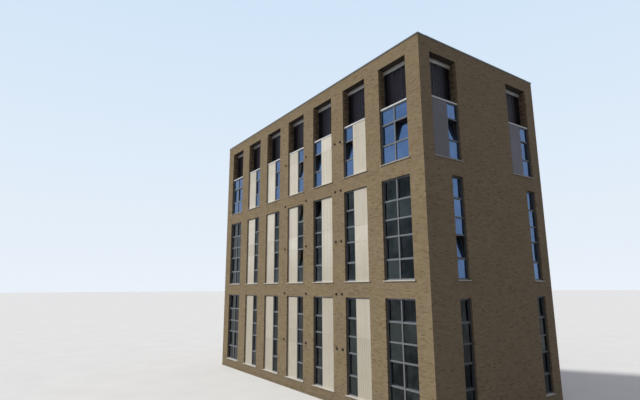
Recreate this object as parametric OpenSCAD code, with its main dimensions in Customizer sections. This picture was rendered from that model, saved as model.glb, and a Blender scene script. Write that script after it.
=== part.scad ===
// Six-storey flat-roofed apartment block in buff brick, with openings two storeys
// high, cream infill panels, tall windows and a recessed glazed storey at the top.
// The long front faces -Y and the near corner of the photograph is at +X, -Y.
// Every side is drawn in its own plan: u runs from left to right as seen from
// outside, d runs inwards from the brick face, z runs up from the ground.

/* [Long sides] */
// Number of bays on each long side
bay_count = 7; // [2:1:9]
// Distance from one bay to the next
bay_pitch = 3150; // [2600:10:4000]
// Width of a full opening in the brickwork
opening_w = 2000; // [1650:10:2500]
// Brick pier between the corner of a long side and its first opening
corner_pier = 925; // [600:5:1500]

/* [Short sides] */
// Length of each short side, from brick face to brick face
side_l = 9900; // [8000:50:14000]
// Brick pier between the corner of a short side and its first opening
side_corner_pier = 760; // [600:5:1200]

/* [Heights] */
// From the ground to the underside of the lowest sills
plinth_h = 600; // [400:25:1200]
// From one floor to the next
storey_h = 2925; // [2700:5:3600]
// Brick band between an opening and the next one up
band_h = 790; // [500:10:1000]
// Extra height of the openings of the top two storeys
top_extra_h = 330; // [0:10:600]
// Top of the ground floor above the ground
ground_floor_h = 280; // [150:10:400]

/* [Walls, floors and roof] */
// Thickness of the outer walls
wall_t = 480; // [400:1:650]
// Thickness of the upper floors and the roof slab
slab_t = 250; // [150:10:320]
// Thickness of the roof's insulation and covering
roof_cover_t = 230; // [100:10:300]
// Height of the metal coping on the parapet
coping_t = 45; // [30:5:100]
// How far the coping stands out from the wall on both sides
coping_out = 25; // [16:1:45]
// Fall of the coping towards the roof
coping_fall = 15; // [0:1:20]
// How far the coping's turned-down edges hang below the top of the wall
coping_lip = 35; // [20:5:60]
// Thickness of the turned-down edges
coping_lip_t = 12; // [5:1:14]
// Joint between two lengths of coping
coping_joint = 4; // [2:1:10]

/* [Infill panels] */
// Width of the infill panel beside a single window
panel_w = 1170; // [900:5:1410]
// How far the panel's face lies behind the brick face
panel_set = 75; // [40:5:150]
// Number of upright boards across a panel
panel_boards = 8; // [1:1:14]
// Width of the grooves between boards, and of the joints across a panel
groove_w = 12; // [4:1:20]
// Depth of the grooves and joints
groove_d = 10; // [2:1:20]

/* [Windows] */
// How far the window's face lies behind the brick face
window_set = 95; // [50:5:160]
// Depth of a window frame
frame_d = 70; // [50:5:100]
// Width of the frame's outer members
frame_w = 60; // [40:5:90]
// Width of the frame's transoms and mullions
transom_w = 80; // [50:5:100]
// Depth of an opening light, which closes against the back of the frame
sash_d = 55; // [40:5:70]
// Width of an opening light's members
sash_w = 50; // [35:5:70]
// How far an opening light laps onto the frame
sash_lap = 12; // [8:1:20]
// Angle of the opening lights that stand tilted
tilt_angle = 10; // [4:1:14]
// Thickness of a double-glazed unit
glass_t = 28; // [20:1:40]
// How far every frame laps over the edges of its pane, all round
pane_lap = 12; // [6:1:18]
// From the inner face of a fixed pane to the back of its frame
pane_rim = 4; // [2:1:20]
// Top of the low fixed pane above the foot of the opening
guard_h = 1045; // [800:5:1300]
// From the top of the lower opening light up to the floor behind the window
spandrel_below = 435; // [300:5:500]
// From that floor up to the top of the pane in front of it
spandrel_above = 415; // [200:5:600]
// From that floor up to the top of the upper fixed pane
upper_guard_h = 1350; // [900:5:1600]

/* [Sills] */
// Height of a window sill
sill_t = 70; // [50:5:100]
// How far a sill stands out from the brick face
sill_out = 50; // [35:5:80]
// How far a sill's nose laps onto the brick at each end
sill_lap = 60; // [20:5:100]
// How much lower the sill's nose is than its back
sill_fall = 40; // [0:1:40]
// Width and depth of the drip groove under the nose
sill_drip = 8; // [3:1:12]

/* [Top recess] */
// Depth of the dark screens at the back of the recess
screen_d = 60; // [40:5:100]
// Width of the members of the dark screens
screen_w = 50; // [30:5:80]
// Number of panes across a screen
screen_panes = 3; // [2:1:5]
// Height of the white ledge at the foot of the recess
ledge_h = 90; // [60:5:160]
// How far the ledge's front lies behind the brick face
ledge_set = 50; // [20:5:90]
// Fall of the ledge's top towards the front
ledge_fall = 12; // [0:1:30]
// From the recess's soffit down to the foot of the pale beam
beam_h = 240; // [150:10:300]
// From the soffit down to the beam's upper strip, over which only its plate shows
beam_drop = 55; // [20:5:80]
// Depth of the beam in front of the screen
beam_d = 45; // [30:5:80]
// How far the beam's lower strip lies behind its upper strip
beam_step = 12; // [4:1:20]
// Height of the shadow gap between the two strips
beam_gap = 15; // [8:1:40]
// Thickness of the plate that carries both strips
beam_plate_t = 10; // [6:1:20]

/* [Vents] */
// Diameter of a round wall vent's flange
vent_d = 160; // [120:10:220]
// Thickness of the flange
vent_flange_t = 8; // [4:1:15]
// How far a vent stands out from the brick
vent_out = 35; // [25:5:45]
// Number of slots in a vent's cowl
vent_slots = 4; // [3:1:6]
// Distance between the two vents of a pair
vent_pair = 520; // [350:10:700]
// Vent centre below the top of the floor above
vent_drop = 310; // [270:5:400]

/* [Hidden] */

FRONT = 0;
EAST = 1;
BACK = 2;
WEST = 3;

// Where the window stands in each long-side opening, from left to right
long_bays = ["both", "right", "right", "right", "left", "left", "both"];
// Opening lights that stand tilted: side, column from the left, tier, light, row
tilted = [[FRONT, 6, 2, 1, 1], [FRONT, 5, 2, 0, 1], [FRONT, 4, 2, 0, 1],
          [FRONT, 3, 2, 0, 1], [FRONT, 4, 1, 0, 4], [FRONT, 3, 1, 0, 4],
          [FRONT, 3, 1, 0, 1], [EAST, 0, 2, 0, 1], [EAST, 0, 1, 0, 1]];
// Vents of a long side: pier from the left, and side of that pier's middle
vent_places = [[4, -1], [4, 1], [3, -1], [2, 1]];
vented_storeys = [1 : 5];

tiers = 3;
top_tier = tiers - 1;
building_l = 2 * corner_pier + (bay_count - 1) * bay_pitch + opening_w;
tier_h = 2 * storey_h;
opening_h = tier_h - band_h;
top_opening_h = opening_h + top_extra_h;
roof_top = plinth_h + top_tier * tier_h + top_opening_h + band_h;
wall_top = roof_top - coping_t;
inner_l = building_l - 2 * wall_t;
inner_w = side_l - 2 * wall_t;
window_back = window_set + frame_d;
recess_d = wall_t - screen_d;
fixed_pane_front = window_back - pane_rim - glass_t;
light_pane_front = window_back + (sash_d - glass_t) / 2;
screen_pane_front = recess_d + (screen_d - glass_t) / 2;
cut = 10;

brick = [0.60, 0.53, 0.42];
concrete = [0.62, 0.61, 0.58];
metal_grey = [0.52, 0.53, 0.53];
frame_grey = [0.66, 0.69, 0.70];
sash_grey = [0.30, 0.33, 0.37];
cream = [0.88, 0.86, 0.78];
panel_grey = [0.50, 0.49, 0.54];
glass_blue = [0.35, 0.45, 0.60, 0.55];
white = [0.92, 0.92, 0.90];
dark = [0.16, 0.16, 0.18];
brown = [0.34, 0.28, 0.22];

// Levels above the ground
function floor_top(storey) = ground_floor_h + storey * storey_h;
function tier_foot(tier) = plinth_h + tier * tier_h;

// Levels above the foot of an opening
floor_behind = floor_top(1) - tier_foot(0);
lower_light_h = floor_behind - spandrel_below;
spandrel_h = floor_behind + spandrel_above;
upper_fixed_h = floor_behind + upper_guard_h;
function tier_opening_h(tier) = tier == top_tier ? top_opening_h : opening_h;
function window_top(tier) = tier == top_tier ? spandrel_h : opening_h;

// Openings of one side, each as [column, tier, u of its left edge, width, kind]
function side_length(side) = side % 2 == 0 ? building_l : side_l;
function long_kind(bay) = bay == bay_count - 1 ? "both" : long_bays[bay % len(long_bays)];
function long_openings() =
    [for (tier = [0 : top_tier], bay = [0 : bay_count - 1])
        [bay, tier, corner_pier + bay * bay_pitch, opening_w, long_kind(bay)]];
function short_left(column) =
    column == 0 ? side_corner_pier : side_l - side_corner_pier - opening_w;
function short_openings() =
    [for (tier = [0 : top_tier], column = [0, 1])
        tier == top_tier
            ? [column, tier, short_left(column), opening_w, "right"]
            : [column, tier, short_left(column) + panel_w, opening_w - panel_w, "only"]];
function openings(side) = side % 2 == 0 ? long_openings() : short_openings();
function column_of(opening) = opening[0];
function tier_of(opening) = opening[1];
function left_of(opening) = opening[2];
function width_of(opening) = opening[3];
function kind_of(opening) = opening[4];

// Span of the window in an opening, and the number of lights side by side
function window_left(opening) =
    left_of(opening) + (kind_of(opening) == "right" ? panel_w : 0);
function has_panel(opening) = kind_of(opening) == "left" || kind_of(opening) == "right";
function window_width(opening) = width_of(opening) - (has_panel(opening) ? panel_w : 0);
function light_count(opening) = kind_of(opening) == "both" ? 2 : 1;

// Clear span of one light between the frame's members
function light_left(opening, light) =
    light == 0 ? window_left(opening) + frame_w
               : window_left(opening) + light * window_width(opening) / light_count(opening)
                 + transom_w / 2;
function light_right(opening, light) =
    light == light_count(opening) - 1
        ? window_left(opening) + window_width(opening) - frame_w
        : window_left(opening) + (light + 1) * window_width(opening) / light_count(opening)
          - transom_w / 2;

// Rows of panes up a window, and their clear heights above the foot of the opening
row_tops = [guard_h, lower_light_h, spandrel_h, upper_fixed_h, opening_h];
opening_rows = [1, 4];
function row_count(tier) = tier == top_tier ? 3 : 5;
function row_foot(row) = row == 0 ? sill_t + frame_w : row_tops[row - 1] + transom_w / 2;
function row_head(row, tier) =
    row == row_count(tier) - 1 ? window_top(tier) - frame_w : row_tops[row] - transom_w / 2;
function opens(row) = len(search(row, opening_rows)) > 0;

// Corners of the holes through a frame and through the opening light behind it
function frame_hole_low(opening, light, row) =
    [light_left(opening, light), window_set, row_foot(row)];
function frame_hole_high(opening, light, row) =
    [light_right(opening, light), window_back, row_head(row, tier_of(opening))];
light_inset = [sash_w - sash_lap, frame_d, sash_w - sash_lap];
function light_hole_low(opening, light, row) =
    frame_hole_low(opening, light, row) + light_inset;
function light_hole_high(opening, light, row) =
    frame_hole_high(opening, light, row) + [-light_inset[0], sash_d, -light_inset[2]];
function is_tilted(side, opening, light, row) =
    len([for (t = tilted)
        if (t == [side, column_of(opening), tier_of(opening), light, row]) t]) > 0;

// Puts the plan of one side in its place around the block
module on_side(side) {
    corner_x = side == FRONT || side == WEST ? -building_l / 2 : building_l / 2;
    corner_y = side == FRONT || side == EAST ? -side_l / 2 : side_l / 2;
    translate([corner_x, corner_y, 0]) rotate(90 * side) children();
}

// A block from one corner to the other in a side's plan: u, d and z
module span(low, high) {
    translate(low) cube(high - low);
}

// Extrudes an outline in d and z along u
module along(left, right) {
    translate([left, 0, 0]) rotate([90, 0, 90]) linear_extrude(right - left) children();
}

module floor_slab(top, thickness) {
    color(concrete) translate([-inner_l / 2, -inner_w / 2, top - thickness])
        cube([inner_l, inner_w, thickness]);
}

module brick_wall(side) {
    long_side = side % 2 == 0;
    start = long_side ? 0 : wall_t;
    end = side_length(side) - start;
    color(brick) on_side(side) difference() {
        span([start, 0, 0], [end, wall_t, wall_top]);
        for (o = openings(side)) {
            foot = tier_foot(tier_of(o));
            span([left_of(o), -cut, foot],
                 [left_of(o) + width_of(o), wall_t + cut, foot + tier_opening_h(tier_of(o))]);
        }
    }
}

// Clear hole through a frame, between its front and back faces
module clear_hole(low, high) {
    span(low - [0, cut, 0], high + [0, cut, 0]);
}

// Room for a pane behind the lip of its frame, from one depth to another
module pane_room(low, high, front, back) {
    span([low[0] - pane_lap, front, low[2] - pane_lap],
         [high[0] + pane_lap, back, high[2] + pane_lap]);
}

// Clear hole with a rebate for its pane, which goes in from the back of the frame
module glazing_hole(low, high, pane_front) {
    clear_hole(low, high);
    pane_room(low, high, pane_front, high[1] + cut);
}

module pane(low, high, pane_front) {
    pane_room(low, high, pane_front, pane_front + glass_t);
}

module window_frame(opening) {
    tier = tier_of(opening);
    difference() {
        span([window_left(opening), window_set, sill_t],
             [window_left(opening) + window_width(opening), window_back, window_top(tier)]);
        for (light = [0 : light_count(opening) - 1], row = [0 : row_count(tier) - 1]) {
            low = frame_hole_low(opening, light, row);
            high = frame_hole_high(opening, light, row);
            if (opens(row)) clear_hole(low, high);
            else glazing_hole(low, high, fixed_pane_front);
        }
    }
}

module window_frames(side) {
    color(frame_grey) on_side(side) for (o = openings(side))
        translate([0, 0, tier_foot(tier_of(o))]) window_frame(o);
}

// Tilts an opening light inwards about its lower outer edge
module tilt(row, angle) {
    hinge = row_foot(row) - sash_lap;
    translate([0, window_back, hinge]) rotate([-angle, 0, 0]) translate([0, -window_back, -hinge])
        children();
}

module opening_light(opening, light, row) {
    low = light_hole_low(opening, light, row);
    high = light_hole_high(opening, light, row);
    member = [sash_w, 0, sash_w];
    difference() {
        span(low - member, high + member);
        glazing_hole(low, high, light_pane_front);
    }
}

module opening_lights(side) {
    color(sash_grey) on_side(side) for (o = openings(side))
        translate([0, 0, tier_foot(tier_of(o))])
            for (light = [0 : light_count(o) - 1], row = [0 : row_count(tier_of(o)) - 1])
                if (opens(row)) tilt(row, is_tilted(side, o, light, row) ? tilt_angle : 0)
                    opening_light(o, light, row);
}

module window_pane(opening, light, row) {
    if (opens(row))
        pane(light_hole_low(opening, light, row), light_hole_high(opening, light, row),
             light_pane_front);
    else
        pane(frame_hole_low(opening, light, row), frame_hole_high(opening, light, row),
             fixed_pane_front);
}

module window_glass(side) {
    color(glass_blue) on_side(side) for (o = openings(side))
        translate([0, 0, tier_foot(tier_of(o))])
            for (light = [0 : light_count(o) - 1], row = [0 : row_count(tier_of(o)) - 1])
                tilt(row, is_tilted(side, o, light, row) ? tilt_angle : 0)
                    window_pane(o, light, row);
}

// Plan of an infill panel in u and d, with upright boards on its face
module panel_outline() {
    pitch = (panel_w + groove_w) / panel_boards;
    difference() {
        translate([0, panel_set]) square([panel_w, wall_t - panel_set]);
        for (i = [1 : 1 : panel_boards - 1])
            translate([i * pitch - groove_w, panel_set - cut]) square([groove_w, groove_d + cut]);
    }
}

// A panel stops at the joints that line up with the transoms around the floor
module infill_panel(top) {
    difference() {
        translate([0, 0, sill_t]) linear_extrude(top - sill_t) panel_outline();
        for (joint = [lower_light_h, spandrel_h]) if (joint < top)
            span([-cut, panel_set - cut, joint - groove_w / 2],
                 [panel_w + cut, panel_set + groove_d, joint + groove_w / 2]);
    }
}

module infill_panels(side) {
    tone = side % 2 == 0 ? cream : panel_grey;
    color(tone) on_side(side) for (o = openings(side)) if (has_panel(o)) {
        left = left_of(o) + (kind_of(o) == "left" ? width_of(o) - panel_w : 0);
        translate([left, 0, tier_foot(tier_of(o))]) infill_panel(window_top(tier_of(o)));
    }
}

// Outline of a sill in d and z, with a drip groove under its nose
module sill_outline() {
    difference() {
        polygon([[-sill_out, 0], [-sill_out, sill_t - sill_fall], [panel_set, sill_t],
                 [wall_t, sill_t], [wall_t, 0]]);
        translate([-sill_out + sill_drip, -cut]) square([sill_drip, sill_drip + cut]);
    }
}

module window_sill(opening) {
    left = left_of(opening);
    right = left + width_of(opening);
    along(left, right) sill_outline();
    along(left - sill_lap, right + sill_lap) intersection() {
        sill_outline();
        translate([-sill_out, 0]) square([sill_out, sill_t]);
    }
}

module window_sills(side) {
    color(frame_grey) on_side(side) for (o = openings(side))
        translate([0, 0, tier_foot(tier_of(o))]) window_sill(o);
}

// Insulated box behind the pane that hides the edge of each floor
module spandrel_linings() {
    color(concrete) for (side = [FRONT, EAST, BACK, WEST]) on_side(side)
        for (o = openings(side)) translate([0, 0, tier_foot(tier_of(o))])
            span([window_left(o), window_back, lower_light_h + sash_lap],
                 [window_left(o) + window_width(o), wall_t, spandrel_h]);
}

// Openings of the top tier on every side
module each_recess() {
    for (side = [FRONT, EAST, BACK, WEST]) on_side(side)
        for (o = openings(side)) if (tier_of(o) == top_tier)
            translate([left_of(o), 0, tier_foot(top_tier)]) children();
}

module recess_ledges() {
    color(white) each_recess() translate([0, 0, spandrel_h]) along(0, opening_w)
        polygon([[ledge_set, 0], [ledge_set, ledge_h - ledge_fall], [recess_d, ledge_h],
                 [wall_t, ledge_h], [wall_t, 0]]);
}

// Plate under the soffit that carries two equal strips, the lower one a step behind
module beam_outline() {
    upper_front = recess_d - beam_d;
    lower_front = upper_front + beam_step;
    plate_front = recess_d - beam_plate_t;
    strip_h = (beam_h - beam_drop - beam_gap) / 2;
    gap_top = -beam_drop - strip_h;
    gap_foot = gap_top - beam_gap;
    polygon([[plate_front, 0], [plate_front, -beam_drop], [upper_front, -beam_drop],
             [upper_front, gap_top], [plate_front, gap_top], [plate_front, gap_foot],
             [lower_front, gap_foot], [lower_front, -beam_h], [recess_d, -beam_h],
             [recess_d, 0]]);
}

module recess_beams() {
    color(cream) each_recess() translate([0, 0, top_opening_h]) along(0, opening_w)
        beam_outline();
}

screen_foot = spandrel_h + ledge_h;
screen_bay = (opening_w - screen_w) / screen_panes;

function screen_hole_low(i) = [screen_w + i * screen_bay, recess_d, screen_foot + screen_w];
function screen_hole_high(i) = [(i + 1) * screen_bay, wall_t, top_opening_h - beam_h];

module recess_screens() {
    color(dark) each_recess() difference() {
        span([0, recess_d, screen_foot], [opening_w, wall_t, top_opening_h]);
        for (i = [0 : screen_panes - 1])
            glazing_hole(screen_hole_low(i), screen_hole_high(i), screen_pane_front);
    }
}

module recess_glass() {
    color(glass_blue) each_recess() for (i = [0 : screen_panes - 1])
        pane(screen_hole_low(i), screen_hole_high(i), screen_pane_front);
}

// One length of coping from left to right, which falls towards the roof. Its edges are
// turned down on both sides, the inner one only between the two walls that meet this one.
module coping_length(left, right, inner_left, inner_right) {
    inside = wall_t + coping_out;
    along(left, right) {
        polygon([[-coping_out, 0], [-coping_out, coping_t], [inside, coping_t - coping_fall],
                 [inside, 0]]);
        translate([-coping_out, -coping_lip]) square([coping_lip_t, coping_lip + cut]);
    }
    along(max(left, inner_left), min(right, inner_right))
        translate([inside - coping_lip_t, -coping_lip]) square([coping_lip_t, coping_lip + cut]);
}

// Equal lengths of coping from one end of a run to the other
module coping_run(start, end, count, inner_left, inner_right) {
    step = (end - start + coping_joint) / count;
    for (i = [0 : count - 1])
        coping_length(start + i * step, start + (i + 1) * step - coping_joint,
                      inner_left, inner_right);
}

// Turned-down edge across the open end of a run at a corner of the building
module coping_end(left) {
    span([left, -coping_out, -coping_lip], [left + coping_lip_t, wall_t + coping_out, cut]);
}

module parapet_coping() {
    inside = wall_t + coping_out;
    short_start = inside + coping_joint;
    color(metal_grey) {
        for (side = [FRONT, BACK]) on_side(side) translate([0, 0, wall_top]) {
            coping_run(-coping_out, building_l + coping_out, bay_count,
                       inside, building_l - inside);
            coping_end(-coping_out);
            coping_end(building_l + coping_out - coping_lip_t);
        }
        for (side = [EAST, WEST]) on_side(side) translate([0, 0, wall_top])
            coping_run(short_start, side_l - short_start, 3, short_start, side_l - short_start);
    }
}

// A round vent on the brick face: a flange, and a cowl with slots that fall outwards
module wall_vent() {
    cowl_d = vent_d - 30;
    cowl_rim = 20;
    slot_pitch = (cowl_d - 2 * cowl_rim) / vent_slots;
    slot_h = slot_pitch * 0.45;
    slot_fall = 35;
    slot_depth = 12;
    rotate([90, 0, 0]) {
        cylinder(h = vent_flange_t, d = vent_d, $fn = 48);
        difference() {
            cylinder(h = vent_out, d = cowl_d, $fn = 48);
            for (i = [0 : vent_slots - 1]) {
                level = (i - (vent_slots - 1) / 2) * slot_pitch;
                half_w = sqrt(pow(cowl_d / 2, 2) - pow(abs(level) + cowl_rim, 2));
                translate([-half_w, level, vent_out]) rotate([slot_fall, 0, 0])
                    translate([0, -slot_h / 2, -slot_depth])
                        cube([2 * half_w, slot_h, 2 * slot_depth]);
            }
        }
    }
}

function pier_middle(pier) = corner_pier + opening_w + pier * bay_pitch
                             + (bay_pitch - opening_w) / 2;

module wall_vents() {
    color(brown) for (side = [FRONT, BACK], storey = vented_storeys, place = vent_places)
        if (place[0] < bay_count - 1) on_side(side)
            translate([pier_middle(place[0]) + place[1] * vent_pair / 2, 0,
                       floor_top(storey) - vent_drop]) wall_vent();
}

floor_slab(floor_top(0), ground_floor_h);  // ground_floor
floor_slab(floor_top(1), slab_t);  // first_floor
floor_slab(floor_top(2), slab_t);  // second_floor
floor_slab(floor_top(3), slab_t);  // third_floor
floor_slab(floor_top(4), slab_t);  // fourth_floor
floor_slab(floor_top(5), slab_t);  // fifth_floor
floor_slab(floor_top(6), slab_t);  // roof_slab
floor_slab(floor_top(6) + roof_cover_t, roof_cover_t);  // roof_covering
parapet_coping();
brick_wall(FRONT);  // front_wall
brick_wall(EAST);  // east_wall
brick_wall(BACK);  // back_wall
brick_wall(WEST);  // west_wall
window_frames(FRONT);  // front_window_frames
window_frames(EAST);  // east_window_frames
window_frames(BACK);  // back_window_frames
window_frames(WEST);  // west_window_frames
opening_lights(FRONT);  // front_opening_lights
opening_lights(EAST);  // east_opening_lights
opening_lights(BACK);  // back_opening_lights
opening_lights(WEST);  // west_opening_lights
window_glass(FRONT);  // front_glass
window_glass(EAST);  // east_glass
window_glass(BACK);  // back_glass
window_glass(WEST);  // west_glass
infill_panels(FRONT);  // front_panels
infill_panels(EAST);  // east_panels
infill_panels(BACK);  // back_panels
infill_panels(WEST);  // west_panels
window_sills(FRONT);  // front_sills
window_sills(EAST);  // east_sills
window_sills(BACK);  // back_sills
window_sills(WEST);  // west_sills
spandrel_linings();
recess_ledges();
recess_beams();
recess_screens();
recess_glass();
wall_vents();
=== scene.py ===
"""Looks of a six-storey brick apartment block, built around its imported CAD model."""

import math

import bmesh
import bpy
import numpy as np
from mathutils import Matrix, Vector


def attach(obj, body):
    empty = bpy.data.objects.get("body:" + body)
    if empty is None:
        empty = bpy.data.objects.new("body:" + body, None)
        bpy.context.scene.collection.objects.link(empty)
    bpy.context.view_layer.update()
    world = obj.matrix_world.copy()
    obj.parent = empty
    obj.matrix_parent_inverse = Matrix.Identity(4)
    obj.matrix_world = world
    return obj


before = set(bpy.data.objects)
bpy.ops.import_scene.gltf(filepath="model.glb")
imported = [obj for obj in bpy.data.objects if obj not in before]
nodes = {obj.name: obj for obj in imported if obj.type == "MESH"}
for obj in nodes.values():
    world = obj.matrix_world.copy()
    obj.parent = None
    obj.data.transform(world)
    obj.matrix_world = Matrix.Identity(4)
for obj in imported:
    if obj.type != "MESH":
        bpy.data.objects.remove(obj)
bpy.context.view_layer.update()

# Sizes of the block in metres, as in the part's source
SIDES = ("front", "east", "back", "west")
BLOCK_L = 22.75
BLOCK_W = 9.9
BAY_PITCH = 3.15
OPENING_W = 2.0
CORNER_PIER = 0.925
SIDE_CORNER_PIER = 0.76
PANEL_W = 1.17
BAY_KINDS = ("both", "right", "right", "right", "left", "left", "both")
FEET = (0.6, 6.45, 12.3)
HEADS = (5.66, 11.51, 17.69)
TOP_TIER = 2
WALL_TOP = 18.435
WALL_T = 0.48
ROOF_TOP = 18.06
SILL_T = 0.07
PANEL_SET = 0.075
WINDOW_SET = 0.095
LEDGE_FOOT = 3.02
LEDGE_TOP = 3.11
LEDGE_SET = 0.05
RECESS_D = 0.42
BEAM_PLATE_SET = 0.41

# Levels over the foot of a tier at which boards and panes end
BOARD_ENDS = (0.0, 2.17, 3.02)
PANE_ENDS = (0.0, 1.045, 2.17, 3.02, 3.955)

# Stretches of a long and a short side that hold one column of panes at most
PANE_STRETCH = 1.575
SHORT_SIDE_STRETCH = 1.65

# Sizes of the brickwork
HALF_BRICK = 0.1125
COURSE = 0.075
HALF_JOINT = 0.005
BRICK_PROUD = 0.004
MORTAR_FACE = 0.002
BRICK_UNEVEN = 0.0008
HEADER = 0.1025
STRETCHER = 0.215
SHORT_BRICK = 0.16
LEAST_BRICK = 0.04
MASTIC_W = 0.009
MASTIC_HOLLOW = 0.0027
WEEP_STEP = 4
WEEP_HALF_W = 0.004
WEEP_SLATS = 5
WEEP_SLAT = ((0.0, -0.003), (0.7, -0.0025), (1.0, -0.0005))
DAMP_COURSE = 2
FELT_HALF_T = 0.0025
FELT_OUT = 0.006

# Tones of the bricks; soffit and return bricks get darker tones, a painted shade
FACE_TONE = 0.5
FACE_TONE_SPREAD = 0.24
SHADED_SOFFIT_TONES = (-1.0, -0.7)
SHADED_RETURN_TONES = (-0.5, 0.3)

# Corners of a rectangle in order, as shares of its half sizes
RECTANGLE = ((-1, -1), (1, -1), (1, 1), (-1, 1))

rng = np.random.default_rng(2026)


# Materials
def colour(red, green, blue):
    """A colour given as screen values from 11 to 255."""
    return (*(((channel / 255 + 0.055) / 1.055) ** 2.4 for channel in (red, green, blue)), 1)


class Surface:
    """A node material with one Principled shader, and short ways to add nodes."""

    def __init__(self, name, roughness=0.6, metallic=0.0):
        self.material = bpy.data.materials.new(name)
        self.material.use_nodes = True
        self.tree = self.material.node_tree
        self.shader = self.tree.nodes["Principled BSDF"]
        self.shader.inputs["Roughness"].default_value = roughness
        self.shader.inputs["Metallic"].default_value = metallic
        self.place = self.add("ShaderNodeTexCoord").outputs["Object"]

    def add(self, kind, **inputs):
        node = self.tree.nodes.new(kind)
        for name, value in inputs.items():
            self.feed(node.inputs[name.replace("_", " ")], value)
        return node

    def feed(self, socket, value):
        if isinstance(value, bpy.types.NodeSocket):
            self.tree.links.new(value, socket)
        else:
            socket.default_value = value

    def noise(self, scale, detail=3.0, rough=0.55, stretch=(1, 1, 1)):
        where = self.add("ShaderNodeMapping", Vector=self.place, Scale=stretch).outputs[0]
        return self.add("ShaderNodeTexNoise", Vector=where, Scale=scale, Detail=detail,
                        Roughness=rough).outputs["Fac"]

    def value(self, name):
        node = self.add("ShaderNodeAttribute")
        node.attribute_name = name
        return node.outputs["Fac"]

    def span(self, value, low, high, to_low=0.0, to_high=1.0):
        node = self.add("ShaderNodeMapRange", Value=value)
        node.inputs["From Min"].default_value = low
        node.inputs["From Max"].default_value = high
        node.inputs["To Min"].default_value = to_low
        node.inputs["To Max"].default_value = to_high
        return node.outputs[0]

    def maths(self, operation, a, b):
        node = self.add("ShaderNodeMath")
        node.operation = operation
        self.feed(node.inputs[0], a)
        self.feed(node.inputs[1], b)
        return node.outputs[0]

    def ramp(self, value, *stops):
        node = self.add("ShaderNodeValToRGB", Fac=value)
        points = node.color_ramp.elements
        while len(points) < len(stops):
            points.new(0.5)
        for point, (position, tint) in zip(points, stops):
            point.position = position
            point.color = tint
        return node.outputs[0]

    def mix(self, share, a, b):
        node = self.add("ShaderNodeMix")
        node.data_type = "RGBA"
        self.feed(node.inputs[0], share)
        self.feed(node.inputs[6], a)
        self.feed(node.inputs[7], b)
        return node.outputs[2]

    def along(self, axis):
        """Where a point lies along an axis of the block."""
        return self.add("ShaderNodeSeparateXYZ", Vector=self.place).outputs[axis]

    def stretch_number(self, axis, size, shift):
        """Number of the stretch of this size that a point lies in, along an axis."""
        place = self.maths("DIVIDE", self.along(axis), size)
        return self.maths("FLOOR", self.maths("ADD", place, shift), 0.0)

    def levels_under(self, levels):
        """How many of these levels, counted from the foot of each tier, lie under a point."""
        count = 0.0
        for foot in FEET:
            for level in levels:
                over = self.maths("GREATER_THAN", self.along("Z"), foot + level)
                count = self.maths("ADD", count, over)
        return count

    def chance(self, *numbers):
        """A number from 0 to 1 for each set of whole numbers."""
        seed = 0.0
        for number in numbers:
            seed = self.maths("ADD", self.maths("MULTIPLY", seed, 40.0), number)
        return self.add("ShaderNodeTexWhiteNoise", Vector=seed).outputs["Value"]

    def bump(self, value, depth, strength=1.0):
        return self.add("ShaderNodeBump", Height=value, Distance=depth, Strength=strength).outputs[0]

    def finish(self, base, roughness=None, normal=None):
        self.feed(self.shader.inputs["Base Color"], base)
        if roughness is not None:
            self.feed(self.shader.inputs["Roughness"], roughness)
        if normal is not None:
            self.feed(self.shader.inputs["Normal"], normal)
        return self.material


def brick_material():
    """Tones from 0 to 1 are bricks in the open, and tones down to -1 are darker bricks of soffits and
    returns, a painted shade.
    """
    s = Surface("buff_brick", 0.9)
    tone = s.span(s.value("tone"), -1.0, 1.0)
    # The stops under 0.5 colour only the soffit and return bricks, a painted shade
    fired = s.ramp(tone, (0.0, colour(34, 27, 20)), (0.15, colour(52, 42, 32)), (0.25, colour(82, 68, 52)),
                   (0.44, colour(108, 91, 70)), (0.5, colour(126, 108, 84)),
                   (0.61, colour(139, 122, 96)), (0.75, colour(147, 131, 105)),
                   (0.89, colour(153, 137, 112)), (1.0, colour(160, 143, 114)))
    unshaded = s.span(tone, 0.1, 0.45)
    speckle = s.span(s.noise(140, 4, 0.7), 0.4, 0.75, 0.0, 0.35)
    grained = s.mix(s.maths("MULTIPLY", speckle, unshaded), fired, colour(110, 92, 70))
    patch = s.span(s.noise(0.35, 4, 0.6, stretch=(1, 1, 1.6)), 0.4, 0.7, 0.0, 0.25)
    weathered = s.mix(s.maths("MULTIPLY", patch, unshaded), grained, colour(122, 108, 84))
    splash = s.maths("MULTIPLY", s.span(s.along("Z"), 0.0, 1.4, 0.55, 0.0), s.noise(2.2, 4))
    dirty = s.mix(splash, weathered, colour(84, 78, 66))
    rough = s.span(s.noise(60, 3), 0.3, 0.7, 0.82, 0.97)
    dents = s.bump(s.noise(90, 5, 0.75), 0.004, 0.6)
    return s.finish(dirty, rough, dents)


def mortar_material():
    """Mortar, darkened where it lies behind the face of the brickwork, a painted shade."""
    s = Surface("mortar", 0.95)
    base = s.ramp(s.noise(30, 5, 0.65), (0.25, colour(126, 117, 100)), (0.55, colour(148, 139, 121)),
                  (0.8, colour(162, 153, 135)))
    patch = s.mix(s.span(s.noise(0.5, 3), 0.42, 0.7, 0.0, 0.35), base, colour(112, 102, 85))
    insides = [s.maths("LESS_THAN", s.maths("ABSOLUTE", s.along(axis), 0.0), size / 2 - MORTAR_FACE)
               for axis, size in (("X", BLOCK_L), ("Y", BLOCK_W))]
    # Mortar inside the block's outer faces is mixed towards a dark tone, a painted shade
    painted_shade = s.mix(s.maths("MULTIPLY", *insides), patch, colour(64, 54, 43))
    return s.finish(painted_shade, s.span(s.noise(50), 0.3, 0.7, 0.88, 1.0), s.bump(s.noise(160, 4, 0.8), 0.002))


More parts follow.
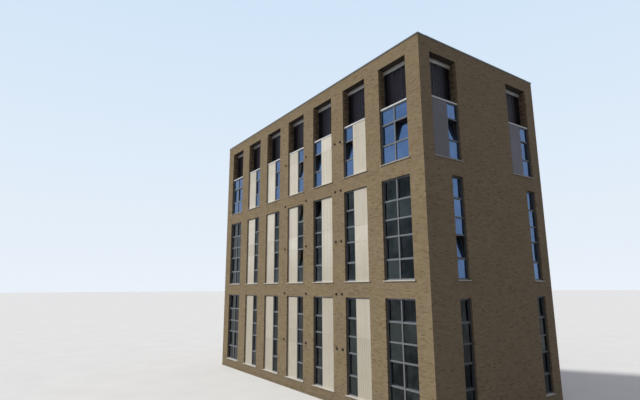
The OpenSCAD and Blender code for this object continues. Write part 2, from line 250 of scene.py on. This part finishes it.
def painted_material(name, tone, dirt, roughness, metallic=0.0, streaks=0.25, grain=0.15):
    """Factory-painted metal: a faint orange-peel grain, thin run-off streaks and dust."""
    s = Surface(name, roughness, metallic)
    dust = s.noise(1.3, 5, 0.6)
    runs = s.noise(9, 4, 0.6, stretch=(1, 1, 0.06))
    worn = s.mix(s.span(dust, 0.4, 0.75, 0.0, grain), tone, dirt)
    streaked = s.mix(s.span(runs, 0.52, 0.8, 0.0, streaks), worn, dirt)
    rough = s.span(s.noise(25, 4), 0.3, 0.7, roughness - 0.07, roughness + 0.1)
    return s.finish(streaked, rough, s.bump(s.noise(400, 2), 0.0004, 0.5))


def concrete_material():
    s = Surface("cast_concrete", 0.85)
    base = s.ramp(s.noise(3, 6, 0.6), (0.3, colour(140, 138, 132)), (0.6, colour(168, 166, 160)),
                  (0.85, colour(184, 181, 174)))
    pits = s.mix(s.span(s.noise(70, 3), 0.62, 0.72, 0.0, 0.4), base, colour(112, 110, 104))
    return s.finish(pits, s.span(s.noise(12), 0.3, 0.7, 0.75, 0.95), s.bump(s.noise(60, 4), 0.003))


def membrane_material():
    s = Surface("roof_membrane", 0.8)
    sheet = s.ramp(s.noise(1.1, 1, 0.5, stretch=(1, 0.01, 0.01)), (0.35, colour(108, 110, 111)),
                   (0.5, colour(120, 122, 122)), (0.65, colour(132, 133, 130)))
    painted_shade = s.mix(s.span(s.noise(1.6, 6, 0.7), 0.45, 0.8, 0.0, 0.5), sheet, colour(92, 92, 88))
    silt = s.mix(s.span(s.noise(0.28, 5, 0.6), 0.55, 0.62, 0.0, 0.3), painted_shade, colour(98, 93, 82))
    grit = s.mix(s.span(s.noise(220, 2), 0.45, 0.7, 0.0, 0.3), silt, colour(148, 148, 146))
    return s.finish(grit, s.span(s.noise(0.9, 4), 0.35, 0.7, 0.6, 0.92), s.bump(s.noise(180, 3), 0.002))


def glass_material(name, low, high, lower_tones, upper_tones, roughness=0.03, uneven=0.16):
    """Double glazing: each pane a shade of its own, with rain marks and a slight pillow. The colour has the
    lower tones under the low level and the upper tones over the high one; on the windows these are painted
    reflections."""
    s = Surface(name, roughness, 0.9)
    pane = s.chance(s.stretch_number("X", PANE_STRETCH, 0.0), s.stretch_number("Y", SHORT_SIDE_STRETCH, 0.0),
                    s.levels_under(PANE_ENDS))
    # Noise mottles the tones, a painted reflection, and each pane adds a shade of its own
    room = s.maths("ADD", s.noise(0.8, 5, 0.65), s.span(pane, 0.0, 1.0, -uneven, uneven))
    shade = s.span(room, 0.36, 0.68)
    lower = s.mix(shade, *lower_tones)
    upper = s.mix(shade, *upper_tones)
    base = s.mix(s.span(s.along("Z"), low, high), lower, upper)
    rain = s.noise(14, 4, 0.6, stretch=(1, 1, 0.08))
    rough = s.span(rain, 0.45, 0.85, roughness / 2, roughness + 0.09)
    s.shader.inputs["Alpha"].default_value = 0.88
    return s.finish(base, rough, s.bump(s.noise(0.9, 1), 0.02))


def plastic_material(name, tone, dust, roughness):
    s = Surface(name, roughness)
    base = s.mix(s.span(s.noise(18, 4), 0.4, 0.75, 0.0, 0.5), tone, dust)
    return s.finish(base, s.span(s.noise(60), 0.3, 0.7, roughness - 0.1, roughness + 0.12),
                    s.bump(s.noise(300, 2), 0.0005))


def panel_material(name, dark, tone, pale, dirt):
    """Upright boards in lengths that have a shade of their own, with a fine grain, run-off streaks, dust in
    clouds, and a painted shade that grows towards the ground."""
    s = Surface(name, 0.55)
    grain = s.noise(30, 4, 0.6, stretch=(1, 1, 0.04))
    base = s.ramp(grain, (0.25, dark), (0.5, tone), (0.8, pale))
    board = s.noise(6.5, 1, 0.5, stretch=(1, 1, 0.01))
    boarded = s.mix(s.span(board, 0.42, 0.62, 0.0, 0.45), base, dark)
    bay = (s.stretch_number("X", BAY_PITCH, 0.5), s.stretch_number("Y", BAY_PITCH, 0.5))
    faded = s.mix(s.span(s.chance(*bay), 0.0, 1.0, 0.0, 0.4), boarded, dark)
    cloud = s.mix(s.span(s.noise(0.9, 4), 0.45, 0.75, 0.0, 0.3), faded, dirt)
    runs = s.noise(12, 4, 0.65, stretch=(1, 1, 0.05))
    streaked = s.mix(s.span(runs, 0.58, 0.82, 0.0, 0.45), cloud, dirt)
    length = s.chance(*bay, s.levels_under(BOARD_ENDS))
    lengths = s.mix(s.span(length, 0.0, 1.0, 0.0, 0.45), streaked, dirt)
    # The boards darken towards the ground, a painted shade in the dirt colour
    shaded_towards_ground = s.mix(s.span(s.along("Z"), FEET[1], FEET[1] + BOARD_ENDS[1], 0.5, 0.0), lengths, dirt)
    return s.finish(shaded_towards_ground, s.span(s.noise(20), 0.3, 0.7, 0.45, 0.65), s.bump(grain, 0.0012))


mortar = mortar_material()
brick = brick_material()
frame_paint = painted_material("frame_paint", colour(124, 127, 130), colour(98, 99, 98), 0.38, 0.35)
# A darker copy of the frame paint for the window frames of the short sides, a painted shade
shaded_frame_paint = painted_material("shaded_frame_paint", colour(82, 84, 89), colour(76, 77, 78), 0.4)
sash_paint = painted_material("sash_paint", colour(68, 76, 88), colour(84, 86, 88), 0.4)
sill_paint = painted_material("sill_paint", colour(196, 193, 186), colour(132, 126, 114), 0.4)
coping_paint = painted_material("coping_paint", colour(108, 109, 110), colour(84, 82, 78), 0.42, 0.3)
ledge_paint = painted_material("ledge_paint", colour(218, 222, 226), colour(172, 172, 170), 0.35)
beam_paint = painted_material("beam_paint", colour(251, 249, 245), colour(228, 223, 214), 0.3, 0.55,
                              streaks=0.15)
screen_paint = painted_material("screen_paint", colour(20, 19, 23), colour(32, 30, 32), 0.6)
lining_face = painted_material("lining_face", colour(66, 72, 80), colour(90, 92, 92), 0.7)
# Window glass tones, painted reflections: dark reflections and dim rooms low down, the sky higher up
room_and_reflection_tones = (colour(29, 34, 37), colour(66, 73, 73))
sky_reflection_tones = (colour(88, 114, 152), colour(102, 128, 168))
screen_tones = (colour(43, 38, 44), colour(51, 45, 52))
long_side_glass = glass_material("long_side_glass", HEADS[1], FEET[2], room_and_reflection_tones, sky_reflection_tones)
short_side_glass = glass_material("short_side_glass", HEADS[0], FEET[1], room_and_reflection_tones, sky_reflection_tones)
dark_glass = glass_material("dark_glass", HEADS[1], FEET[2], screen_tones, screen_tones, 0.65, uneven=0.0)
concrete = concrete_material()
membrane = membrane_material()
membrane_seam = plastic_material("membrane_seam", colour(92, 94, 95), colour(118, 118, 114), 0.75)
cream_panel = panel_material("cream_panel", colour(214, 209, 196), colour(237, 233, 223),
                             colour(246, 243, 235), colour(178, 170, 152))
grey_panel = panel_material("grey_panel", colour(112, 109, 120), colour(124, 121, 133),
                            colour(134, 131, 143), colour(98, 95, 98))
vent_plastic = plastic_material("vent_plastic", colour(44, 36, 28), colour(70, 60, 48), 0.6)
gasket_rubber = plastic_material("gasket_rubber", colour(28, 29, 31), colour(52, 52, 50), 0.7)
felt_dpc = plastic_material("damp_course_felt", colour(36, 35, 34), colour(62, 58, 52), 0.85)

finishes = {
    "wall": mortar, "floor": concrete, "slab": concrete, "covering": membrane, "coping": coping_paint,
    "frames": frame_paint, "lights": sash_paint, "glass": long_side_glass, "panels": cream_panel,
    "sills": sill_paint, "linings": lining_face, "ledges": ledge_paint, "beams": beam_paint,
    "screens": screen_paint, "vents": vent_plastic,
}
own_finishes = {
    "recess_glass": dark_glass, "east_glass": short_side_glass, "west_glass": short_side_glass,
    "east_panels": grey_panel, "west_panels": grey_panel,
    "east_window_frames": shaded_frame_paint, "west_window_frames": shaded_frame_paint,
}
for name, node in nodes.items():
    finish = own_finishes.get(name, finishes[name.split("_")[-1]])
    for slot in node.material_slots:
        slot.material = finish


# Places
def side_length(side):
    return BLOCK_L if side in ("front", "back") else BLOCK_W


def to_world(side, points):
    """Points (u, d, z) of a side's plan in the row frame: u runs right as seen from outside, d inwards."""
    u, d, z = points[..., 0], points[..., 1], points[..., 2]
    half_l, half_w = BLOCK_L / 2, BLOCK_W / 2
    x, y = {
        "front": (u - half_l, d - half_w),
        "east": (half_l - d, u - half_w),
        "back": (half_l - u, half_w - d),
        "west": (d - half_l, half_w - u),
    }[side]
    return np.stack([x, y, z + np.zeros_like(u)], axis=-1)


def openings(side):
    """Openings of a side as (left, right, tier, kind)."""
    if side in ("front", "back"):
        return [(CORNER_PIER + bay * BAY_PITCH, CORNER_PIER + bay * BAY_PITCH + OPENING_W, tier, kind)
                for tier in range(len(FEET)) for bay, kind in enumerate(BAY_KINDS)]
    found = []
    for tier in range(len(FEET)):
        for left in (SIDE_CORNER_PIER, BLOCK_W - SIDE_CORNER_PIER - OPENING_W):
            if tier == TOP_TIER:
                found.append((left, left + OPENING_W, tier, "right"))
            else:
                found.append((left + PANEL_W, left + OPENING_W, tier, "only"))
    return found


# Meshes and pieces
def mesh_from(bm, name):
    mesh = bpy.data.meshes.new(name)
    bm.to_mesh(mesh)
    bm.free()
    return mesh


def add_piece(name, mesh, material):
    piece = bpy.data.objects.new(name, mesh)
    bpy.context.scene.collection.objects.link(piece)
    mesh.materials.append(material)
    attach(piece, "root")


def strip(bm, side, lines):
    """Faces between lines of points in a side's plan."""
    lines = [[bm.verts.new(p) for p in line] for line in to_world(side, np.array(lines))]
    for first, second in zip(lines, lines[1:]):
        for i in range(len(first) - 1):
            bm.faces.new((first[i], first[i + 1], second[i + 1], second[i]))


def bands(bm, loops):
    """Faces between loops of four vertices each."""
    for first, second in zip(loops, loops[1:]):
        for i in range(4):
            j = (i + 1) % 4
            bm.faces.new((first[i], first[j], second[j], second[i]))


def ring_round_block(name, half_sizes, profile, material):
    """A band round the block. Its profile has points (distance outside the half sizes, height)."""
    bm = bmesh.new()
    half_l, half_w = half_sizes
    loops = [[bm.verts.new((x * (half_l + out), y * (half_w + out), z)) for x, y in RECTANGLE]
             for out, z in profile]
    bands(bm, loops)
    bmesh.ops.recalc_face_normals(bm, faces=bm.faces)
    add_piece(name, mesh_from(bm, name), material)


# Brickwork: corners of a brick as shares of its size, and its faces by the way that they look
CORNERS = np.array([(u, d, z) for z in (0, 1) for d in (0, 1) for u in (0, 1)])
FACES = {
    "u-": (0, 4, 6, 2), "u+": (1, 3, 7, 5), "d-": (0, 1, 5, 4), "d+": (2, 6, 7, 3),
    "z-": (0, 2, 3, 1), "z+": (4, 5, 7, 6),
}


class Bricks:
    """Bricks of one side, each with its low and high corner, the face that it is bedded on and its tone."""

    def __init__(self):
        self.lows, self.highs, self.beds, self.tones = [], [], [], []

    def lay(self, low, high, bed, tone):
        self.lows.append(low)
        self.highs.append(high)
        self.beds.append(bed)
        self.tones.append(tone)

    def mesh(self, name, side):
        lows, highs = np.array(self.lows), np.array(self.highs)
        points = lows[:, None, :] + CORNERS[None] * (highs - lows)[:, None, :]
        vertices = to_world(side, points).reshape(-1, 3)
        quads, tones = [], []
        for i, (bed, tone) in enumerate(zip(self.beds, self.tones)):
            for face, corners in FACES.items():
                if face != bed:
                    quads.append([8 * i + c for c in corners])
                    tones.append(tone)
        mesh = bpy.data.meshes.new(name)
        mesh.from_pydata(vertices.tolist(), [], quads)
        tone_layer = mesh.attributes.new("tone", "FLOAT", "FACE")
        tone_layer.data.foreach_set("value", np.array(tones, np.float32))
        return mesh


def half_brick_joints(side):
    """Places along a side where an upright joint can be, about half a brick apart."""
    edges = {0.0, side_length(side)}
    for left, right, _, _ in openings(side):
        edges.update((round(left, 4), round(right, 4)))
    edges = sorted(edges)
    places = [0.0]
    for start, end in zip(edges, edges[1:]):
        count = max(1, round((end - start) / HALF_BRICK))
        places.extend(start + (end - start) * (i + 1) / count for i in range(count))
    return places


def course_levels():
    """Bottom and top of every course, with whole courses between the openings' feet and heads."""
    marks = sorted([0.0, WALL_TOP, *FEET, *HEADS])
    levels = []
    for low, high in zip(marks, marks[1:]):
        count = round((high - low) / COURSE)
        step = (high - low) / count
        levels.extend((low + i * step, low + (i + 1) * step) for i in range(count))
    return levels


def jamb_depths(opening, at_left):
    """Depth of brick that shows beside an opening, as (foot, head, depth) above the ground."""
    _, _, tier, kind = opening
    foot, head = FEET[tier], HEADS[tier]
    beside_panel = (kind == "right" and at_left) or (kind == "left" and not at_left)
    depth = PANEL_SET if beside_panel else WINDOW_SET
    if tier < TOP_TIER:
        return [(foot + SILL_T, head, depth)]
    return [(foot + SILL_T, foot + LEDGE_FOOT, depth), (foot + LEDGE_FOOT, foot + LEDGE_TOP, LEDGE_SET),
            (foot + LEDGE_TOP, head, RECESS_D)]


def soffit_depths(opening):
    """Depth of brick that shows under the head of an opening, as (left, right, depth)."""
    left, right, tier, kind = opening
    if tier == TOP_TIER:
        return [(left, right, BEAM_PLATE_SET)]
    if kind == "right":
        return [(left, left + PANEL_W, PANEL_SET), (left + PANEL_W, right, WINDOW_SET)]
    if kind == "left":
        return [(left, right - PANEL_W, WINDOW_SET), (right - PANEL_W, right, PANEL_SET)]
    return [(left, right, WINDOW_SET)]


def lay_return(bricks, edge, at_left, low, high, zones, first_length, tone):
    """Bricks of one course on the side of an opening, seen from inside the opening."""
    thin = (edge, edge + BRICK_PROUD) if at_left else (edge - BRICK_PROUD, edge)
    bed = "u-" if at_left else "u+"
    for foot, head, depth in zones:
        z0, z1 = max(low, foot), min(high, head)
        if z1 - z0 < HALF_JOINT:
            continue
        start, end = 0.0, first_length
        while start < depth:
            bricks.lay((thin[0], start, z0), (thin[1], min(end, depth), z1), bed, tone)
            start = end + 2 * HALF_JOINT
            end = start + STRETCHER
            # Further return bricks take darker tones, a painted shade
            tone = rng.uniform(*SHADED_RETURN_TONES)


def lay_soffit(bricks, opening, joints):
    head = HEADS[opening[2]]
    for left, right, depth in soffit_depths(opening):
        row, start = 0, 0.0
        while start < depth:
            end = min(start + HEADER, depth)
            own = [j for j in joints[row % 2::2] if left < j < right]
            for a, b in zip([left, *own], [*own, right]):
                a += HALF_JOINT if a > left else 0
                b -= HALF_JOINT if b < right else 0
                # Soffit bricks take dark tones, a painted shade
                tone = rng.uniform(*SHADED_SOFFIT_TONES)
                bricks.lay((a, start, head - BRICK_PROUD), (b, end, head), "z+", tone)
            start = end + 2 * HALF_JOINT
            row += 1


def weep_slot(bm, side, u, bottom, top):
    """A slatted plastic insert in an upright joint, a little behind the bricks beside it."""
    step = (top - bottom) / WEEP_SLATS
    rows = [(bottom + (slat + share) * step, d) for slat in range(WEEP_SLATS) for share, d in WEEP_SLAT]
    strip(bm, side, [[(u + way * WEEP_HALF_W, d, z) for way in (-1, 1)] for z, d in rows])


def brickwork(side):
    bricks = Bricks()
    weeps = bmesh.new()
    joints = half_brick_joints(side)
    holes = openings(side)
    whole = side in ("front", "back")
    for course, (bottom, top) in enumerate(course_levels()):
        middle = (bottom + top) / 2
        cut_by = [o for o in holes if FEET[o[2]] < middle < HEADS[o[2]]]
        over = [o for o in holes if math.isclose(HEADS[o[2]], bottom)]
        own = joints[(course + (0 if whole else 1)) % 2::2]
        weeping = [(o[0], o[1]) for o in over]
        if course == DAMP_COURSE:
            weeping.append((0, side_length(side)))
        for joint in own[::WEEP_STEP]:
            if any(left + HEADER < joint < right - HEADER for left, right in weeping):
                weep_slot(weeps, side, joint, bottom + HALF_JOINT, top - HALF_JOINT)
        starts = [(0.0, None)] + [(o[1], o) for o in cut_by]
        ends = [(o[0], o) for o in cut_by] + [(side_length(side), None)]
        for (a, after), (b, before) in zip(starts, ends):
            cuts = [a] + [j for j in own if a + LEAST_BRICK < j < b - LEAST_BRICK] + [b]
            for left, right in zip(cuts, cuts[1:]):
                tone = float(np.clip(rng.normal(FACE_TONE, FACE_TONE_SPREAD), 0, 1))
                proud = BRICK_PROUD + rng.uniform(-1, 1) * BRICK_UNEVEN
                u0, u1 = left + HALF_JOINT, right - HALF_JOINT
                if left == a:
                    u0 = a - (BRICK_PROUD if after or whole else 0)
                if right == b:
                    u1 = b + (BRICK_PROUD if before or whole else 0)
                z0, z1 = bottom + HALF_JOINT, top - HALF_JOINT
                above = any(o[0] < u1 and u0 < o[1] for o in over)
                bricks.lay((u0, -proud, bottom - BRICK_PROUD if above else z0), (u1, 0.0, z1), "d+", tone)
                first = STRETCHER if right - left < SHORT_BRICK else HEADER
                if left == a and after:
                    lay_return(bricks, a, False, z0, z1, jamb_depths(after, False), first, tone)
                if right == b and before:
                    lay_return(bricks, b, True, z0, z1, jamb_depths(before, True), first, tone)
    for opening in holes:
        lay_soffit(bricks, opening, joints)
    add_piece(f"{side}_bricks", bricks.mesh(f"{side}_bricks", side), brick)
    add_piece(f"{side}_weeps", mesh_from(weeps, f"{side}_weeps"), vent_plastic)


for side in SIDES:
    brickwork(side)


# Glazing
def solids_of(node):
    """The corners of each closed solid of a CAD node, as arrays."""
    mesh = nodes[node].data
    points = np.zeros(len(mesh.vertices) * 3)
    mesh.vertices.foreach_get("co", points)
    points = points.reshape(-1, 3)
    unique, index = np.unique(np.round(points, 5), axis=0, return_inverse=True)
    index = index.ravel()
    edges = np.array([e.vertices for e in mesh.edges])
    group = np.arange(len(unique))
    pairs = index[edges]
    changed = True
    while changed:
        low = np.minimum(group[pairs[:, 0]], group[pairs[:, 1]])
        before = group.copy()
        np.minimum.at(group, pairs[:, 0], low)
        np.minimum.at(group, pairs[:, 1], low)
        changed = not np.array_equal(before, group)
    return [unique[group == g] for g in np.unique(group)]


def outward(side):
    return {"front": (0, -1, 0), "east": (1, 0, 0), "back": (0, 1, 0), "west": (-1, 0, 0)}[side]


def nearest_side(centre):
    gaps = {
        "front": centre[1] + BLOCK_W / 2, "back": BLOCK_W / 2 - centre[1],
        "east": BLOCK_L / 2 - centre[0], "west": centre[0] + BLOCK_L / 2,
    }
    return min(gaps, key=gaps.get)


def pane_face(corners):
    """Centre, half width and half height of a pane's outer face, and its right, up and outward ways."""
    side = nearest_side(corners.mean(axis=0))
    out = np.array(outward(side), float)
    right = np.cross((0, 0, 1), out)
    low = corners[np.argsort(corners[:, 2])[:4]]
    high = corners[np.argsort(corners[:, 2])[4:]]
    front_low = low[np.argsort(low @ out)[-2:]].mean(axis=0)
    front_high = high[np.argsort(high @ out)[-2:]].mean(axis=0)
    up = front_high - front_low
    half_h = np.linalg.norm(up) / 2
    up /= 2 * half_h
    half_w = np.ptp(corners @ right) / 2
    return (front_low + front_high) / 2, half_w, half_h, right, up, np.cross(right, up)


def ring(bm, face, steps):
    """A mitred strip round a pane. Each step is (distance inside the pane's edge, height over the glass)."""
    centre, half_w, half_h, right, up, out = face
    loops = []
    for inset, rise in steps:
        w, h = half_w - inset, half_h - inset
        loops.append([bm.verts.new(centre + right * x * w + up * y * h + out * rise) for x, y in RECTANGLE])
    bands(bm, loops)


def glazing_strips(name, glass_nodes, steps, material):
    bm = bmesh.new()
    for node in glass_nodes:
        for corners in solids_of(node):
            ring(bm, pane_face(corners), steps)
    add_piece(name, mesh_from(bm, name), material)


# The frame's lip covers the first 12 mm of a pane's outer face, and the bead holds the inner face
GASKET = ((0.012, 0.0), (0.012, 0.007), (0.018, 0.005), (0.020, 0.0))
BEAD = ((0.015, -0.028), (0.011, -0.0315), (0.001, -0.0315), (0.0, -0.028))
window_glass_nodes = [f"{side}_glass" for side in SIDES]
glazing_strips("glazing_beads", window_glass_nodes, BEAD, frame_paint)
glazing_strips("glazing_gaskets", window_glass_nodes, GASKET, gasket_rubber)
glazing_strips("recess_beads", ["recess_glass"], BEAD, screen_paint)
glazing_strips("recess_gaskets", ["recess_glass"], GASKET, gasket_rubber)


# Mastic where windows and panels meet the brick
def mastic_profile(depth):
    """Points of a hollow bead, as (distance from the brick, depth)."""
    return [(0.0, depth - MASTIC_W), (MASTIC_HOLLOW, depth - MASTIC_HOLLOW), (MASTIC_W, depth)]


def mastic():
    bm = bmesh.new()
    for side in SIDES:
        for opening in openings(side):
            for edge, way in ((opening[0] + BRICK_PROUD, 1), (opening[1] - BRICK_PROUD, -1)):
                foot, head, depth = jamb_depths(opening, way > 0)[0]
                profile = mastic_profile(depth)[::way]
                strip(bm, side, [[(edge + way * w, d, z) for w, d in profile] for z in (foot, head)])
            if opening[2] < TOP_TIER:
                level = HEADS[opening[2]] - BRICK_PROUD
                for left, right, depth in soffit_depths(opening):
                    profile = mastic_profile(depth)
                    strip(bm, side, [[(u, d, level - w) for w, d in profile] for u in (left, right)])
    add_piece("mastic", mesh_from(bm, "mastic"), gasket_rubber)


mastic()


# Stays of the lights that stand tilted
STAY_W = 0.003
STAY_H = 0.014
STAY_RISE = 0.55
STAY_HINGE_D = 0.145
PANE_TO_SASH = 0.0135
PANE_TO_JAMB = 0.022
PIVOT_R = 0.006
PIVOT_T = 0.007
PIVOT_SIDES = 12
ARC_STEP = 30
LEAST_TILT = math.sin(math.radians(1))
UPWARDS = Vector((0, 0, 1))


def stay_outline(length):
    """A flat bar from 0 to this length with round ends, as (along, up)."""
    half = STAY_H / 2
    ends = ((0.0, 90, 270), (length, -90, 90))
    return [(centre + half * math.cos(math.radians(angle)), half * math.sin(math.radians(angle)))
            for centre, first, last in ends for angle in range(first, last + 1, ARC_STEP)]


def prism(bm, outline, place, along, up, across, thickness):
    """An outline in the along and up directions, with this thickness across."""
    near, far = ([bm.verts.new(place + along * a + up * b + across * c) for a, b in outline]
                 for c in (-thickness / 2, thickness / 2))
    bm.faces.new(near)
    bm.faces.new(far[::-1])
    for i in range(len(outline)):
        j = (i + 1) % len(outline)
        bm.faces.new((near[j], near[i], far[i], far[j]))


def light_stays():
    bm = bmesh.new()
    turns = [2 * math.pi * i / PIVOT_SIDES for i in range(PIVOT_SIDES)]
    pivot = [(PIVOT_R * math.cos(a), PIVOT_R * math.sin(a)) for a in turns]
    for side in SIDES:
        into = -Vector(outward(side))
        face_depth = -BLOCK_W / 2 if side in ("front", "back") else -BLOCK_L / 2
        for corners in solids_of(f"{side}_glass"):
            centre, half_w, half_h, right, up, out = pane_face(corners)
            if abs(out[2]) < LEAST_TILT:
                continue
            edge = Vector(centre + up * STAY_RISE * half_h + out * PANE_TO_SASH)
            across = Vector(right)
            for way in (-1, 1):
                sash = edge + across * way * (half_w + PANE_TO_JAMB)
                length = sash.dot(into) - face_depth - STAY_HINGE_D
                hinge = sash - into * length
                prism(bm, stay_outline(length), hinge, into, UPWARDS, across, STAY_W)
                for place in (hinge, sash):
                    prism(bm, pivot, place, into, UPWARDS, across, PIVOT_T)
    bmesh.ops.recalc_face_normals(bm, faces=bm.faces)
    add_piece("light_stays", mesh_from(bm, "light_stays"), sash_paint)


light_stays()


# Roof: the covering turned up behind the coping, and the laps of its sheets
TRAY = (BLOCK_L / 2 - WALL_T, BLOCK_W / 2 - WALL_T)
UPSTAND_FOOT = 0.2
UPSTAND = ((0.0, 18.392), (-0.007, 18.390), (-0.007, 18.115), (-0.055, 18.067), (-UPSTAND_FOOT, 18.064),
           (-UPSTAND_FOOT - 0.002, ROOF_TOP))
SHEETS = 20
LAP = ((-0.045, 0.0), (-0.040, 0.0035), (0.036, 0.003), (0.045, 0.0))

ring_round_block("parapet_upstand", TRAY, UPSTAND, membrane)


def roof_laps():
    bm = bmesh.new()
    inner_x, inner_y = (half - UPSTAND_FOOT for half in TRAY)
    for i in range(1, SHEETS):
        x = -inner_x + 2 * inner_x * i / SHEETS
        lines = [[bm.verts.new((x + dx, y, ROOF_TOP + dz)) for dx, dz in LAP] for y in (-inner_y, inner_y)]
        for k in range(len(LAP) - 1):
            bm.faces.new((lines[0][k], lines[0][k + 1], lines[1][k + 1], lines[1][k]))
    add_piece("roof_laps", mesh_from(bm, "roof_laps"), membrane_seam)


roof_laps()


# Damp course in the second bed joint
def damp_course():
    joint = course_levels()[DAMP_COURSE - 1][1]
    low, high = joint - FELT_HALF_T, joint + FELT_HALF_T
    profile = ((0.0, low), (FELT_OUT, low), (FELT_OUT, high), (0.0, high))
    ring_round_block("damp_course", (BLOCK_L / 2, BLOCK_W / 2), profile, felt_dpc)


damp_course()


# Floor, backdrop, lamp and camera
BACKDROP_LOW = (0.82, 0.88, 0.95, 1.0)
BACKDROP_HIGH = (0.60, 0.76, 0.94, 1.0)
BACKDROP_RISE = 0.7
GROUND_BOUNCE = (0.10, 0.10, 0.095, 1.0)
FILL_COLOUR = (0.95, 0.93, 1.0, 1.0)
FILL_STRENGTH = 0.39
KEY_COLOUR = (1.0, 0.97, 0.90)
KEY_STRENGTH = 4.45
KEY_SPREAD = 6
KEY_AZIMUTH = 60
KEY_ELEVATION = 27
FLOOR_RADIUS = 900
FLOOR_CORNERS = 96


def direction(azimuth, rise):
    """A direction this many degrees left of +Y and this many upwards."""
    azimuth, rise = math.radians(azimuth), math.radians(rise)
    level = math.cos(rise)
    return Vector((-math.sin(azimuth) * level, math.cos(azimuth) * level, math.sin(rise)))


def seen_directly(tree):
    """1 for what the camera sees, also by reflection or through glass, and 0 for light on the object."""
    path = tree.nodes.new("ShaderNodeLightPath")
    share = path.outputs["Is Camera Ray"]
    for ray in ("Is Glossy Ray", "Is Transmission Ray"):
        more = tree.nodes.new("ShaderNodeMath")
        more.operation = "MAXIMUM"
        tree.links.new(share, more.inputs[0])
        tree.links.new(path.outputs[ray], more.inputs[1])
        share = more.outputs[0]
    return share


def rising_tint(tree):
    """Colour of the backdrop, pale at the horizon and a little bluer above."""
    ray = tree.nodes.new("ShaderNodeTexCoord").outputs["Generated"]
    parts = tree.nodes.new("ShaderNodeSeparateXYZ")
    tree.links.new(ray, parts.inputs[0])
    rise = tree.nodes.new("ShaderNodeMapRange")
    rise.inputs["From Max"].default_value = BACKDROP_RISE
    tree.links.new(parts.outputs["Z"], rise.inputs["Value"])
    tint = tree.nodes.new("ShaderNodeMix")
    tint.data_type = "RGBA"
    tint.inputs[6].default_value = BACKDROP_LOW
    tint.inputs[7].default_value = BACKDROP_HIGH
    tree.links.new(rise.outputs[0], tint.inputs[0])
    return tint.outputs[2]


def studio_floor():
    bm = bmesh.new()
    bmesh.ops.create_circle(bm, cap_ends=True, radius=FLOOR_RADIUS, segments=FLOOR_CORNERS)
    mesh = mesh_from(bm, "studio_floor")
    floor = bpy.data.objects.new("studio_floor", mesh)
    bpy.context.scene.collection.objects.link(floor)
    s = Surface("pale_floor", 0.9)
    pale = s.ramp(s.noise(0.4, 3), (0.3, (0.76, 0.77, 0.78, 1)), (0.7, (0.80, 0.81, 0.82, 1)))
    mesh.materials.append(s.finish(s.mix(seen_directly(s.tree), GROUND_BOUNCE, pale)))


def studio_world():
    world = bpy.data.worlds.new("studio")
    bpy.context.scene.world = world
    world.use_nodes = True
    tree = world.node_tree
    fill = tree.nodes["Background"]
    fill.inputs["Color"].default_value = FILL_COLOUR
    fill.inputs["Strength"].default_value = FILL_STRENGTH
    backdrop = tree.nodes.new("ShaderNodeBackground")
    tree.links.new(rising_tint(tree), backdrop.inputs["Color"])
    both = tree.nodes.new("ShaderNodeMixShader")
    tree.links.new(seen_directly(tree), both.inputs[0])
    tree.links.new(fill.outputs[0], both.inputs[1])
    tree.links.new(backdrop.outputs[0], both.inputs[2])
    tree.links.new(both.outputs[0], tree.nodes["World Output"].inputs["Surface"])


def key_light():
    lamp = bpy.data.lights.new("key", "SUN")
    lamp.energy = KEY_STRENGTH
    lamp.angle = math.radians(KEY_SPREAD)
    lamp.color = KEY_COLOUR
    key = bpy.data.objects.new("key", lamp)
    towards = direction(180 - KEY_AZIMUTH, KEY_ELEVATION)
    key.rotation_euler = towards.to_track_quat("Z", "Y").to_euler()
    key.visible_glossy = False
    bpy.context.scene.collection.objects.link(key)


# The camera was fitted to the photo's edges
CAMERA_PLACE = (24.93, -20.17, 6.17)
CAMERA_AZIMUTH = 55.37
CAMERA_PITCH = 11.17
CAMERA_ROLL = -0.25
FOCAL_PIXELS = 444.4
PHOTO_W = 640
SENSOR = 36.0
FARTHEST = 3000


def photo_camera():
    lens = bpy.data.cameras.new("photo")
    lens.sensor_width = SENSOR
    lens.lens = FOCAL_PIXELS / PHOTO_W * SENSOR
    lens.clip_end = FARTHEST
    camera = bpy.data.objects.new("photo", lens)
    forward = direction(CAMERA_AZIMUTH, CAMERA_PITCH)
    right = direction(CAMERA_AZIMUTH - 90, 0)
    up = right.cross(forward)
    roll = math.radians(CAMERA_ROLL)
    rolled_right = right * math.cos(roll) + up * math.sin(roll)
    rolled_up = up * math.cos(roll) - right * math.sin(roll)
    turn = Matrix((rolled_right, rolled_up, -forward)).transposed()
    camera.matrix_world = Matrix.Translation(CAMERA_PLACE) @ turn.to_4x4()
    bpy.context.scene.collection.objects.link(camera)
    bpy.context.scene.camera = camera


studio_floor()
studio_world()
key_light()
photo_camera()
bpy.context.scene.view_settings.view_transform = "Standard"
